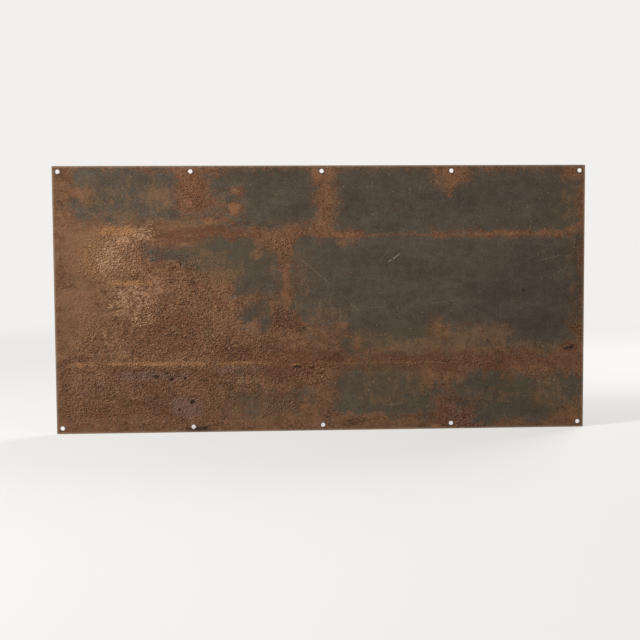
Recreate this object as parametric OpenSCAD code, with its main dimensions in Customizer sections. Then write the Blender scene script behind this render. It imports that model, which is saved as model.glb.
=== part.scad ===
// Enamelled sheet-steel sign for fixing flat to a wall or a fence.
// X runs along the width, Z up, and the rear faces -Y.
// The origin is the middle of the hole pattern on the rear of the steel.

/* [Sheet] */
// Width of the steel sheet
sheet_w = 762; // [660:1:900]
// Height of the steel sheet
sheet_h = 381; // [330:1:450]
// Thickness of the steel sheet
sheet_t = 1.6; // [1.2:0.1:3]
// Radius of the corners
corner_r = 1.5; // [0.5:0.1:5]

/* [Fixing holes] */
// Diameter of a fixing hole
hole_d = 6; // [4:0.1:7]
// Distance from each edge of the sheet to the nearest hole centres
hole_inset = 8; // [7:0.5:14]
// Number of holes along the top edge, and again along the bottom edge
hole_columns = 5; // [3:1:9]
// Width of the lip that the punch raised round a hole at the rear
lip_w = 1.5; // [0.8:0.1:2.5]
// Height of that lip above the rear of the steel
lip_h = 0.4; // [0.1:0.05:0.5]
// Size of the edge that the punch rolled over at the front
rollover = 0.3; // [0.1:0.05:0.6]

/* [Fired coats] */
// Thickness of the dark ground coat, front and rear
ground_t = 0.15; // [0.1:0.01:0.25]
// Thickness of the white cover coat
white_t = 0.2; // [0.1:0.01:0.3]
// Thickness of the blue coat
blue_t = 0.15; // [0.1:0.01:0.3]
// How far the blue border band reaches past the hole centres
border_past = 14; // [11:1:22]
// Width of the white line between the border band and the field
line_w = 5; // [3:0.5:9]
// Radius of the hollow corners of the white line
hollow_r = 16; // [8:1:28]

/* [Rust] */
// Thickness of the rust scale where the rear coat is gone
scale_t = 0.5; // [0.2:0.05:0.8]
// Gap between the rust scale and what it grows up to
scale_gap = 0.1; // [0.05:0.01:0.3]
// How far a coat's broken edge strays from its mean line
ragged = 2.6; // [0.5:0.1:4]
// Length of the longest waves along a broken edge
wave_l = 55; // [40:1:90]
// Corner radius of a stretch of rear coat
island_r = 12; // [6:1:18]
// How much further the rear coat is gone than the lip round a hole
bloom = 3; // [1:0.5:8]
// Unit of the size of a chip in the front coats
chip = 2.5; // [1.5:0.1:3.5]
// How much further each later coat is broken back round a chip
chip_step = 1.2; // [0.5:0.1:2.5]

/* [Hidden] */
hole_r = hole_d / 2;
lip_r = hole_r + lip_w;
half_w = sheet_w / 2;
half_h = sheet_h / 2;
hole_x = half_w - hole_inset;
hole_z = half_h - hole_inset;
front_y = sheet_t;
white_y = front_y + ground_t;
blue_y = white_y + white_t;
border_w = hole_inset + border_past;
field_inset = border_w + line_w;

// How far the cutters run past what they cut
over = 1;

// Corner radius that rounds an outline as far as its size allows
full_round = sheet_h;

// How far the break in the ground coat can spread from a lip inside the border band
chip_room = border_past - lip_r - 2 * chip_step - chip / 3;

// Left, right, bottom and top of each stretch of rear coat that is left,
// in hundredths of the sheet's half width and half height.
ISLANDS = [
    [-92, -54, 60, 97], [-43, -29, 74, 97], [-32, -3, 55, 97], [5, 98, 51, 97],
    [16, 42, 40, 56], [-10, 97, -20, 46], [8, 94, -40, 10], [6, 43, -89, -55],
    [51, 98, -95, -59], [-46, -26, 32, 46], [-32, -17, 3, 36], [-44, -28, 20, 36],
    [-30, -20, -21, -4], [-32, -23, -86, -74], [-11, -5, -83, -70],
];

// Patches that rust has taken out of that coat: middle across and up in the
// same hundredths, then half width and half height in multiples of bloom.
PATCHES = [
    [-90, 80, 6, 3], [-32, 81, 2.4, 1.7], [-32, 68, 2.7, 3], [4, 77, 2.8, 6],
    [0, 56, 3, 2.4], [43, -31, 3, 9], [13, -33, 1.7, 3.6], [40, -60, 4, 6],
    [2, -20, 6, 3], [98, -38, 3, 5], [-13, 22, 2, 7], [70, -60, 5, 2],
];

// Extra reach of the rust at each hole, in multiples of bloom: across, then up,
// from left to right along the top row and then along the bottom row.
BLOOMS = [
    [[4, 3], [6, 5], [4, 5], [8, 4], [8, 4]],
    [[4, 3], [5, 3], [4, 3], [11, 6], [8, 6]],
];

// Spread of the front chip at each hole, as a share of chip_room, in the same order.
HOLE_CHIPS = [[0.9, 0.3, 0.6, 0.4, 1], [0.8, 0.4, 0.9, 0.3, 0.8]];

// Other chips at the front, the first four at the corners: middle across and up
// in the same hundredths, then half width and half height in multiples of chip.
OTHER_CHIPS = [
    [-100, 100, 4.4, 4.2], [100, 100, 5, 4.2], [-100, -100, 4, 4.4], [100, -100, 4.2, 4],
    [-100, 34, 1.4, 4], [100, -22, 1.8, 6], [-24, 100, 5, 1.2], [61, 100, 3, 1],
    [-62, -100, 6, 1.6], [28, -100, 4, 1.8], [-38, 21, 2, 1.7], [66, -47, 1.3, 1.1],
];

$fn = 48;

// A place in hundredths of the half width and half height
function place(p) = [p[0] * half_w / 100, p[1] * half_h / 100];

// Point at the distance s round a rectangle, from its bottom left corner
function on_rectangle(half, s) =
    let (w = 2 * half[0], h = 2 * half[1])
    s < w ? [s - half[0], -half[1]]
    : s < w + h ? [half[0], s - w - half[1]]
    : s < 2 * w + h ? [half[0] - (s - w - h), half[1]]
    : [-half[0], half[1] - (s - 2 * w - h)];

// Three waves of unlike length round an outline, between about -1 and 1
function stray(a, waves, seed) =
    0.4 * sin(waves * a + 47 * seed)
    + 0.35 * sin(round(1.6 * waves) * a + 79 * seed)
    + 0.35 * sin(round(2.3 * waves) * a + 113 * seed);

// Rounded rectangle with a broken edge, which grow moves outwards
function broken(middle, half, corner, depth, seed, grow) =
    let (
        round_r = min(corner, half[0], half[1]),
        rim = 4 * (half[0] + half[1]),
        waves = max(2, round(rim / wave_l)),
        n = max(20, 8 * waves)
    )
    [
        for (i = [0:n - 1])
            let (
                p = on_rectangle(half, rim * i / n),
                core = half - [round_r, round_r],
                q = [max(-core[0], min(core[0], p[0])), max(-core[1], min(core[1], p[1]))],
                out = round_r + grow + depth * stray(360 * i / n, waves, seed)
            )
            middle + q + (p - q) * out / norm(p - q)
    ];

// Turns an outline in X and Z into a slab from y to y + t
module slab(y, t) {
    translate([0, y + t, 0]) rotate([90, 0, 0]) linear_extrude(t) children();
}

module sheet_outline() {
    union() {
        square([sheet_w - 2 * corner_r, sheet_h], center = true);
        square([sheet_w, sheet_h - 2 * corner_r], center = true);
        for (x = [-1, 1], z = [-1, 1])
            translate([x * (half_w - corner_r), z * (half_h - corner_r)]) circle(corner_r);
    }
}

// Children at each hole, with the row and the column of the hole as $row and $col
module at_holes() {
    for ($row = [0, 1], $col = [0:hole_columns - 1]) {
        x = -hole_x + 2 * hole_x * $col / (hole_columns - 1);
        translate([x, $row == 0 ? hole_z : -hole_z]) children();
    }
}

module holes(r) {
    at_holes() circle(r);
}

// What is left of the rear coat, drawn larger by grow all round
module rear_islands(grow) {
    difference() {
        for (i = [0:len(ISLANDS) - 1]) {
            low = place([ISLANDS[i][0], ISLANDS[i][2]]);
            high = place([ISLANDS[i][1], ISLANDS[i][3]]);
            polygon(broken((low + high) / 2, (high - low) / 2, island_r, ragged, i, grow));
        }
        for (i = [0:len(PATCHES) - 1]) {
            half = [PATCHES[i][2], PATCHES[i][3]] * bloom;
            polygon(broken(place(PATCHES[i]), half, full_round, ragged / 2, i + 20, -grow));
        }
        at_holes() {
            reach = BLOOMS[$row][$col % len(BLOOMS[$row])];
            half = reach * bloom + [lip_r, lip_r];
            polygon(broken([0, 0], half, full_round, ragged / 2, $col + 5 * $row + 40, -grow));
        }
    }
}

// Chips through a coat, where later coats are broken back further by steps
module chips(steps) {
    grow = steps * chip_step;
    at_holes() {
        r = lip_r + HOLE_CHIPS[$row][$col % len(HOLE_CHIPS[$row])] * chip_room;
        polygon(broken([0, 0], [r, r], r, chip / 3, $col + 5 * $row + 60, grow));
    }
    for (i = [0:len(OTHER_CHIPS) - 1]) {
        half = [OTHER_CHIPS[i][2], OTHER_CHIPS[i][3]] * chip;
        polygon(broken(place(OTHER_CHIPS[i]), half, full_round, chip / 3, i + 80, grow));
    }
}

// Panel set in from the edges, with a hollow quarter round at each corner
module hollow_panel(inset, r) {
    difference() {
        square([sheet_w - 2 * inset, sheet_h - 2 * inset], center = true);
        for (x = [-1, 1], z = [-1, 1])
            translate([x * (half_w - border_w), z * (half_h - border_w)]) circle(r);
    }
}

module steel_sheet() {
    color("#5b4a3d") difference() {
        union() {
            slab(0, sheet_t) sheet_outline();
            rotate([90, 0, 0]) at_holes()
                cylinder(h = lip_h, r1 = lip_r, r2 = hole_r + lip_w / 3);
        }
        translate([0, sheet_t + over, 0]) rotate([90, 0, 0]) at_holes()
            cylinder(h = sheet_t + lip_h + 2 * over, r = hole_r);
        translate([0, sheet_t + rollover, 0]) rotate([90, 0, 0]) at_holes()
            cylinder(h = 2 * rollover, r1 = hole_r + 2 * rollover, r2 = hole_r);
    }
}

module rear_ground_coat() {
    color("#4a443b") slab(-ground_t, ground_t) intersection() {
        sheet_outline();
        rear_islands(0);
    }
}

module rear_rust_scale() {
    color("#7d5238") slab(-scale_t, scale_t) difference() {
        sheet_outline();
        rear_islands(scale_gap);
        holes(lip_r + scale_gap);
    }
}

module front_ground_coat() {
    color("#23262b") slab(front_y, ground_t) difference() {
        sheet_outline();
        chips(0);
    }
}

module front_white_coat() {
    color("#e8e4d8") slab(white_y, white_t) difference() {
        sheet_outline();
        chips(1);
    }
}

module front_blue_border() {
    color("#1d3a6b") slab(blue_y, blue_t) difference() {
        sheet_outline();
        hollow_panel(border_w, hollow_r);
        chips(2);
    }
}

module front_blue_field() {
    color("#1d3a6b") slab(blue_y, blue_t) difference() {
        hollow_panel(field_inset, hollow_r + line_w);
        chips(2);
    }
}

steel_sheet();
rear_ground_coat();
rear_rust_scale();
front_ground_coat();
front_white_coat();
front_blue_border();
front_blue_field();
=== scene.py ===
# %% [markdown]
# # An enamelled sheet-steel sign
# The real object is one thin sheet of steel with glass fired onto both sides. Its rear, which
# the camera sees, has lost much of its dark ground coat to rust. This lesson dresses a finished
# CAD model: the sizes come from there, and Blender adds only skins, small relief and finishes.
# We keep the model's box at the start.

# %% Load the frame
from math import radians

import bmesh
import bpy
import numpy as np
from mathutils import Matrix, Vector
from mathutils.geometry import delaunay_2d_cdt
from mathutils.kdtree import KDTree


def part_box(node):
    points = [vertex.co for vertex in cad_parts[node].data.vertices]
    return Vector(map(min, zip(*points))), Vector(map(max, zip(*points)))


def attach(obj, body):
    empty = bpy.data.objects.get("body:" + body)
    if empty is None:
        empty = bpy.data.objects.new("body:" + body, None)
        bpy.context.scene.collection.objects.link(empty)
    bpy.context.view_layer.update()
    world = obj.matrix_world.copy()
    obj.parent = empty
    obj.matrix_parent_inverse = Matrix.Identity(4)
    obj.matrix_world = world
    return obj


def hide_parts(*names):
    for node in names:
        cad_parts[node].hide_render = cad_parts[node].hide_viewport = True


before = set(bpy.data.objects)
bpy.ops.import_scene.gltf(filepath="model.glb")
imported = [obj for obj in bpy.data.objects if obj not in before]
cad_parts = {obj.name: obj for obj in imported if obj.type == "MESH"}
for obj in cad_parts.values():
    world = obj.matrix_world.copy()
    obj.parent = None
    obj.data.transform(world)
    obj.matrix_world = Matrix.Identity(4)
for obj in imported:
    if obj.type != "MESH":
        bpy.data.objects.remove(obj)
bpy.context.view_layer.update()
MM = 0.001
sheet_low, sheet_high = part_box("steel_sheet")
HALF_W = sheet_high.x / MM
HALF_H = sheet_high.z / MM
print(f"sheet {2 * HALF_W:.0f} x {2 * HALF_H:.0f} mm, nodes: {sorted(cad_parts)}")

# %% [markdown]
# ## Camera
# A long lens some 1.7 m away, at about the height of the sheet's middle, turned a little to the
# right. The numbers were chosen by making the four corners and the ten holes fall where the
# photograph has them. A square picture makes the sensor width the only frame that matters.

# %% Camera
# Place in m and turns in degrees.
EYE = Vector((-0.093, -1.656, 0.080))
LENS_MM = 65
TURN_RIGHT = 3.09
LOOK_DOWN = 3.81
LEAN = -0.35

camera = bpy.data.objects.new("camera", bpy.data.cameras.new("camera"))
camera.data.lens = LENS_MM
camera.data.sensor_fit = "HORIZONTAL"
aim = Matrix.Rotation(radians(-TURN_RIGHT), 4, "Z") @ Matrix.Rotation(radians(90 - LOOK_DOWN), 4, "X")
camera.matrix_world = Matrix.Translation(EYE) @ aim @ Matrix.Rotation(radians(LEAN), 4, "Z")
bpy.context.scene.collection.objects.link(camera)
bpy.context.scene.camera = camera
bpy.context.scene.view_settings.view_transform = "Standard"
print("camera", [round(c, 3) for c in EYE], "lens", LENS_MM, "mm")

# %% [markdown]
# ## Two helpers for every node tree
# Colours are picked on a screen, so they are sRGB values, and the renderer wants linear light.
# One function turns the hex value over. The other adds a node of any kind: plain values are
# written on its sockets or its settings, and a socket in their place becomes a link. Sockets that
# share one name are given by number. On a Map Range node 1 and 2 are the range that comes in,
# and 3 and 4 the range that goes out. On a Mix node 0 is the share of the second input, 2 and 3
# are numbers to mix, and 6 and 7 are colours, whose mix is output 2.

# %% Colour and node helpers
def linear(hex_colour):
    """An sRGB hex colour as linear red, green, blue and alpha."""
    parts = [int(hex_colour[i:i + 2], 16) / 255 for i in (1, 3, 5)]
    return (*[c / 12.92 if c <= 0.04045 else ((c + 0.055) / 1.055) ** 2.4 for c in parts], 1.0)


def add(tree, kind, sockets=None, out=0, **settings):
    """Adds a node, with its settings, values and links, and gives back one of its outputs."""
    node = tree.nodes.new(kind)
    for name, value in settings.items():
        setattr(node, name, value)
    for name, value in (sockets or {}).items():
        if isinstance(value, bpy.types.NodeSocket):
            tree.links.new(value, node.inputs[name])
        else:
            node.inputs[name].default_value = value
    return node.outputs[out] if len(node.outputs) else node


print("bare steel is written", [round(c, 3) for c in linear("#8c8781")])

# %% [markdown]
# ## Stage
# A plain pale floor under the bottom edge, and a pale surround. The floor could end at a wall,
# but the object is looked at from all sides, so it fades into the surround with distance and
# has no edge in any view. The camera, a shine and a glass see it nearly white, and other rays
# see it darker, so that it doesn't throw up so much light that the rust's relief goes flat.

# %% Rays that show the background
SHOWN_BY = ("Camera", "Glossy", "Transmission")


def seen_directly(tree):
    """1 for a ray that shows the background to the camera, also by way of a shine or a glass."""
    rays = [add(tree, "ShaderNodeLightPath", out=f"Is {kind} Ray") for kind in SHOWN_BY]
    either = add(tree, "ShaderNodeMath", {0: rays[0], 1: rays[1]}, operation="MAXIMUM")
    return add(tree, "ShaderNodeMath", {0: either, 1: rays[2]}, operation="MAXIMUM")


print("the background is shown by these rays:", ", ".join(SHOWN_BY))

# %% Floor
# Distances in m. A veil of 1 would show the surround alone.
SURROUND = linear("#f1f0ee")
FLOOR_SEEN = linear("#cac8c4")
FLOOR_BOUNCE = linear("#6e6b66")
FLOOR_RADIUS = 30
FLOOR_SIDES = 64
FADE_FROM = 0.6
FADE_TO = 2.6
LEAST_VEIL = 0.6

floor_mesh = bpy.data.meshes.new("floor")
shape = bmesh.new()
bmesh.ops.create_circle(shape, cap_ends=True, segments=FLOOR_SIDES, radius=FLOOR_RADIUS)
bmesh.ops.translate(shape, verts=shape.verts, vec=(0, 0, sheet_low.z))
shape.to_mesh(floor_mesh)
shape.free()
floor = bpy.data.objects.new("floor", floor_mesh)
bpy.context.scene.collection.objects.link(floor)
print("floor at", round(sheet_low.z, 4), "m, fading from", FADE_FROM, "to", FADE_TO, "m")

# %% Matt paint of the floor
floor_paint = bpy.data.materials.new("matt pale paint")
floor_paint.use_nodes = True
tree = floor_paint.node_tree
tree.nodes.clear()
seen = seen_directly(tree)
colour = add(tree, "ShaderNodeMix", {0: seen, 6: FLOOR_BOUNCE, 7: FLOOR_SEEN}, 2, data_type="RGBA")
matt = add(tree, "ShaderNodeBsdfDiffuse", {"Color": colour})
glow = add(tree, "ShaderNodeEmission", {"Color": SURROUND})
place = add(tree, "ShaderNodeTexCoord", out="Object")
away = add(tree, "ShaderNodeVectorMath", {0: place}, "Value", operation="LENGTH")
faded = add(tree, "ShaderNodeMapRange", {0: away, 1: FADE_FROM, 2: FADE_TO, 3: LEAST_VEIL},
            interpolation_type="SMOOTHSTEP")
veiled = add(tree, "ShaderNodeMath", {0: faded, 1: seen}, operation="MULTIPLY")
ground = add(tree, "ShaderNodeMixShader", {0: veiled, 1: matt, 2: glow})
add(tree, "ShaderNodeOutputMaterial", {"Surface": ground})
floor_mesh.materials.append(floor_paint)
print(floor_paint.name, len(tree.nodes), "nodes")

# %% Surround
WORLD_FILL = 0.12

world = bpy.data.worlds.new("pale surround")
world.use_nodes = True
bpy.context.scene.world = world
tree = world.node_tree
tree.nodes.clear()
fill = add(tree, "ShaderNodeBackground", {"Color": (1, 1, 1, 1), "Strength": WORLD_FILL})
pale = add(tree, "ShaderNodeBackground", {"Color": SURROUND})
both = add(tree, "ShaderNodeMixShader", {0: seen_directly(tree), 1: fill, 2: pale})
add(tree, "ShaderNodeOutputWorld", {"Surface": both})
print("the surround lights the sheet with a strength of", WORLD_FILL)

# %% [markdown]
# ## Lamps
# Rust reads as rust only when the light comes across it: each lump then has a lit and a shaded
# side. A large lamp stands high on the left of the rear, where the photograph's light came
# from. A weak one on the right keeps the shaded sides from going black. A third does for the
# enamelled front what the first does for the rear.

# %% Lamps
# Place in m, width in m and power in W. Each lamp is square and aims at the sheet's middle.
LAMPS = {
    "rear key": ((-1.95, -1.05, 1.35), 0.6, 106),
    "rear side": ((2.0, -1.2, 0.9), 0.8, 10),
    "front key": ((1.35, 1.35, 1.30), 1.1, 56),
}
for name, (stand, wide, watts) in LAMPS.items():
    lamp = bpy.data.objects.new(name, bpy.data.lights.new(name, "AREA"))
    lamp.data.size = wide
    lamp.data.energy = watts
    lamp.location = stand
    lamp.rotation_euler = (-Vector(stand)).to_track_quat("-Z", "Y").to_euler()
    bpy.context.scene.collection.objects.link(lamp)
    print(name, "at", stand, "with", watts, "W")

# %% [markdown]
# ## Outlines out of the CAD model
# Each coat is a thin slab with ragged islands and chips. A dense skin over it needs those
# outlines. We could copy the numbers here, but reading them from the model keeps the two true
# to each other. The model's mesh is loose triangles, so a copy is merged, and the edges of its
# flat face that have a neighbour on one side only are walked into loops.

# %% Outlines of a flat face
WELD = 0.02 * MM
WIDEST_HOLE = 20.0


def outlines_of(node, level):
    """The closed outlines, in mm across and up, of a CAD node's flat face at y = level."""
    shape = bmesh.new()
    shape.from_mesh(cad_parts[node].data)
    bmesh.ops.remove_doubles(shape, verts=shape.verts, dist=WELD)
    flat = dict.fromkeys(f for f in shape.faces if all(abs(v.co.y - level) < WELD for v in f.verts))
    following = {}
    for face in flat:
        for corner in face.loops:
            if sum(other in flat for other in corner.edge.link_faces) == 1:
                following[corner.vert] = corner.link_loop_next.vert
    loops = []
    while following:
        start, point = following.popitem()
        ring = [start]
        while point is not start:
            ring.append(point)
            point = following.pop(point)
        loops.append(np.array([(v.co.x, v.co.z) for v in ring]) / MM)
    shape.free()
    return loops


front_of_steel = sheet_high.y
steel_rings = outlines_of("steel_sheet", front_of_steel)
hole_rims = [ring for ring in steel_rings if np.ptp(ring[:, 0]) < WIDEST_HOLE]
HOLES = np.array([(rim.min(0) + rim.max(0)) / 2 for rim in hole_rims])
print(len(HOLES), "holes, the last at", HOLES.max(0).round(1), "mm")

# %% [markdown]
# ## Noise in plain numbers
# Rust has no straight edge. Outlines and blots are bent by gradient noise: a grid of random
# directions, blended smoothly between its points. Each use has its own seed, so every run
# gives the same sheet.

# %% Smooth steps and gradient noise
CELLS = 256
FULL_SWING = 1.5


def smooth(low, high, value):
    """0 at low, 1 at high, with a soft start and end."""
    t = np.clip((value - low) / (high - low), 0, 1)
    return t * t * (3 - 2 * t)


def noise(x, z, size, seed):
    """Gradient noise between about -1 and 1, with lumps about size mm across."""
    angle = np.random.default_rng(seed).uniform(0, 2 * np.pi, (CELLS, CELLS))
    u = x / size + CELLS / 2
    v = z / size + CELLS / 2
    i = np.floor(u).astype(int)
    j = np.floor(v).astype(int)
    u = u - i
    v = v - j

    def pull(a, b):
        turn = angle[(i + a) % CELLS, (j + b) % CELLS]
        return np.cos(turn) * (u - a) + np.sin(turn) * (v - b)

    across = smooth(0, 1, u)
    up = smooth(0, 1, v)
    below = pull(0, 0) * (1 - across) + pull(1, 0) * across
    above = pull(0, 1) * (1 - across) + pull(1, 1) * across
    return FULL_SWING * (below * (1 - up) + above * up)


print("noise at three places", noise(np.array([1.0, 9.0, 40.0]), np.zeros(3), 6, 1).round(2))

# %% Distance to the nearest point
def nearest(points, others):
    """Distance from each point to the nearest of the others."""
    search = KDTree(len(others))
    for i, (x, z) in enumerate(others):
        search.insert((x, z, 0), i)
    search.balance()
    return np.array([search.find((x, z, 0))[2] for x, z in points])


print("the middle is", nearest(np.zeros((1, 2)), HOLES)[0].round(1), "mm from the nearest hole")

# %% [markdown]
# ## Ragged edges
# The model's outlines are smooth curves, and real enamel breaks in a finer, sharper line. Every
# outline point is moved by one shared field. The coat and the rust that grows up to it are
# bent alike, so the seam between them stays closed. The field dies out at the sheet's edge
# and at the holes, which keep their true shape.

# %% Places that keep their true shape
EDGE_CALM = 4.0
HOLE_CALM = 5.5
CHIP_NEAR = 4.0
CHIP_FAR = 6.0


def from_hole(x, z):
    """Distance to the middle of the nearest hole."""
    return np.min([np.hypot(x - a, z - b) for a, b in HOLES], axis=0)


def from_edge(x, z):
    """Distance to the nearest edge of the sheet."""
    return np.minimum(HALF_W - np.abs(x), HALF_H - np.abs(z))


print("outlines keep still within", EDGE_CALM, "mm of an edge and", HOLE_CALM, "mm of a hole's middle")

# %% Fine outlines
# Length and reach of each wave in mm, and its seed. A second field, for the movement up, has
# its own seed, which is higher by UPWARDS.
RAGGED = [(7.0, 1.3, 11), (3.2, 0.45, 12)]
UPWARDS = 50


def divided(ring, step):
    """The ring with points added, so that none is further than step from the next."""
    points = []
    for start, end in zip(ring, np.roll(ring, -1, axis=0)):
        n = max(1, int(np.ceil(np.hypot(*(end - start)) / step)))
        points.extend(start + (end - start) * k / n for k in range(n))
    return np.array(points)


def broken(ring, chips=None):
    """The ring bent by the shared field, or only its stretches near the given points."""
    x, z = ring.T
    calm = smooth(0, EDGE_CALM, from_edge(x, z)) * smooth(HOLE_CALM, 2 * HOLE_CALM, from_hole(x, z))
    if chips is not None:
        calm *= smooth(CHIP_FAR, CHIP_NEAR, nearest(ring, chips))
    moved = ring.copy()
    for size, reach, seed in RAGGED:
        moved[:, 0] += calm * reach * noise(x, z, size, seed)
        moved[:, 1] += calm * reach * noise(x, z, size, seed + UPWARDS)
    return moved


print("edges stray up to", round(sum(reach for _, reach, _ in RAGGED), 2), "mm")

# %% [markdown]
# ## A skin over a coat
# A skin is a closed shell: a dense face that can carry relief, walls down to the steel, and a
# plain back. A grid cut by the outlines would leave steps at every edge. A constrained
# Delaunay triangulation takes the outlines as they are and fills in scattered points, so the
# triangles are even and the edge is exact. Points are jittered, because rows would show as
# rows when light rakes over the relief.

# %% Triangles inside an outline
JITTER = 0.3
CLEAR_OF_EDGE = 0.55
INSIDE_ONLY = 1
SAME_POINT = 1e-5


def inside(points, rings):
    """True for each point that lies within an odd number of the rings."""
    order = np.argsort(points[:, 1])
    x, z = points[order].T
    odd = np.zeros(len(points), bool)
    for ring in rings:
        for (x0, z0), (x1, z1) in zip(ring, np.roll(ring, -1, axis=0)):
            low, high = np.searchsorted(z, sorted((z0, z1)))
            if high > low:
                odd[low:high] ^= x[low:high] < x0 + (z[low:high] - z0) * (x1 - x0) / (z1 - z0)
    result = np.zeros(len(points), bool)
    result[order] = odd
    return result


def filled(points, edges, rings):
    """Triangles over the points, kept to the inside of the rings."""
    found = delaunay_2d_cdt([Vector(p) for p in points.tolist()], edges, [], INSIDE_ONLY, SAME_POINT)
    spots = np.array([tuple(v) for v in found[0]])
    faces = np.array([f for f in found[2] if len(f) == 3])
    return spots, faces[inside(spots[faces].mean(axis=1), rings)]


def scattered(rings, pitch, seed):
    """Jittered points inside the rings, clear of their lines."""
    across = np.arange(-HALF_W, HALF_W, pitch)
    up = np.arange(-HALF_H, HALF_H, pitch)
    grid = np.stack(np.meshgrid(across, up), axis=-1).reshape(-1, 2)
    grid += np.random.default_rng(seed).uniform(-JITTER, JITTER, grid.shape) * pitch
    grid = grid[inside(grid, rings)]
    return grid[nearest(grid, np.concatenate(rings)) > CLEAR_OF_EDGE * pitch]


print("points keep", CLEAR_OF_EDGE, "of the pitch clear of an outline")

# %% Numbers and sharp edges on a mesh
def write(mesh, name, values):
    """Writes one number for each point of the mesh, for node trees to read by name."""
    layer = mesh.attributes.new(name, "FLOAT", "POINT")
    layer.data.foreach_set("value", np.asarray(values, np.float32))


def across_and_up(mesh):
    """The x and z of the mesh's points in mm."""
    co = np.empty(3 * len(mesh.vertices), np.float32)
    mesh.vertices.foreach_get("co", co)
    return co[0::3].astype(float) / MM, co[2::3].astype(float) / MM


def keep_sharp(mesh, marked):
    """Makes an edge sharp where both its ends are marked."""
    ends = np.empty(2 * len(mesh.edges), int)
    mesh.edges.foreach_get("vertices", ends)
    mesh.edges.foreach_set("use_edge_sharp", marked[ends.reshape(-1, 2)].all(axis=1))


def border_of(triangles):
    """The sides that only one triangle has, each in that triangle's own direction."""
    sides = np.concatenate([triangles[:, [0, 1]], triangles[:, [1, 2]], triangles[:, [2, 0]]])
    key = np.sort(sides, axis=1)
    _, where, count = np.unique(key, axis=0, return_index=True, return_counts=True)
    return sides[where[count == 1]]


print("one triangle has", len(border_of(np.array([[0, 1, 2]]))), "border sides")

# %% Skin builder
def skin(node, outer, inner, pitch, seed, room=0.0, chips=None):
    """A closed skin for a CAD node, from y = outer to y = inner, and its outlines."""
    rings = [broken(divided(ring, pitch), chips) for ring in outlines_of(node, outer)]
    outer += room
    starts = np.cumsum([0] + [len(r) for r in rings])
    edges = [(s + k, s + (k + 1) % len(r)) for s, r in zip(starts, rings) for k in range(len(r))]
    points = np.concatenate([*rings, scattered(rings, pitch, seed)])
    spots, face = filled(points, edges, rings)
    border = border_of(face)
    rim = np.unique(border)
    order = np.full(len(spots), -1)
    order[rim] = np.arange(len(rim))
    back_spots, back = filled(spots[rim], [tuple(e) for e in order[border].tolist()], rings)
    used = np.unique(face)
    renumber = np.full(len(spots), -1)
    renumber[used] = np.arange(len(used))
    behind = len(used)
    points = [(x * MM, outer, z * MM) for x, z in spots[used].tolist()]
    points += [(x * MM, inner, z * MM) for x, z in back_spots.tolist()]
    walls = [
        (renumber[b], renumber[a], behind + order[a], behind + order[b])
        for a, b in border.tolist()
    ]
    faces = [*renumber[face].tolist(), *walls, *(back[:, ::-1] + behind).tolist()]
    if outer > inner:
        faces = [f[::-1] for f in faces]
    mesh = bpy.data.meshes.new(f"{node}_skin")
    mesh.from_pydata(points, [], faces)
    mesh.polygons.foreach_set("use_smooth", [i < len(face) for i in range(len(faces))])
    number = np.arange(len(points))
    keep_sharp(mesh, np.isin(number, renumber[rim]) | (number >= behind))
    write(mesh, "front", number < behind)
    piece = bpy.data.objects.new(f"{node}_skin", mesh)
    bpy.context.scene.collection.objects.link(piece)
    print(piece.name, len(faces), "faces,", len(rings), "outlines")
    return piece, rings


# %% Skins of the rear
# The pitch of a skin is the finest that keeps it well under 200,000 triangles. The face of the
# scale starts a little lower than the model's, because blisters will stand on it.
COAT_PITCH = 1.6
SCALE_PITCH = 1.34
BLISTER_ROOM = 0.1 * MM
coat_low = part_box("rear_ground_coat")[0].y
scale_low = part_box("rear_rust_scale")[0].y
coat_skin, coat_rings = skin("rear_ground_coat", coat_low, 0.0, COAT_PITCH, 1)
scale_skin, _ = skin("rear_rust_scale", scale_low, 0.0, SCALE_PITCH, 2, room=BLISTER_ROOM)

# %% [markdown]
# ## Where the rear has rusted
# The photograph shows hazy patches, and no two sheets have the same. Each kind of mark is a
# short list of blots, in mm from the middle of the sheet: middle across and up, half width,
# half height, and strength. A blot is a soft rounded box whose space has been bent by noise,
# so that it looks grown and not stamped.

# %% Blots
# Length and reach of each bend in mm, and its seed.
BENDS = [(38, 7.0, 21), (13, 3.2, 22), (5, 1.3, 23)]
BOXY = 2.3
INNER = 0.35
OUTER = 1.45
BENDABLE = 12.0


def blots(x, z, marks):
    """How strongly a list of blots covers each place. A thin blot is bent less than a wide one."""
    sideways = sum(reach * noise(x, z, size, seed) for size, reach, seed in BENDS)
    upwards = sum(reach * noise(x, z, size, seed + UPWARDS) for size, reach, seed in BENDS)
    cover = np.zeros(len(x))
    for a, b, half_w, half_h, strength in marks:
        give = min(1, half_w / BENDABLE, half_h / BENDABLE)
        across = np.abs(x + give * sideways - a) / half_w
        up = np.abs(z + give * upwards - b) / half_h
        reach = (across ** BOXY + up ** BOXY) ** (1 / BOXY)
        cover = np.maximum(cover, strength * smooth(OUTER, INNER, reach))
    return cover


middle = blots(np.zeros(1), np.zeros(1), [(0, 0, 40, 40, 0.9)])
print("a blot of strength 0.9 covers its middle by", middle.round(2))

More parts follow.
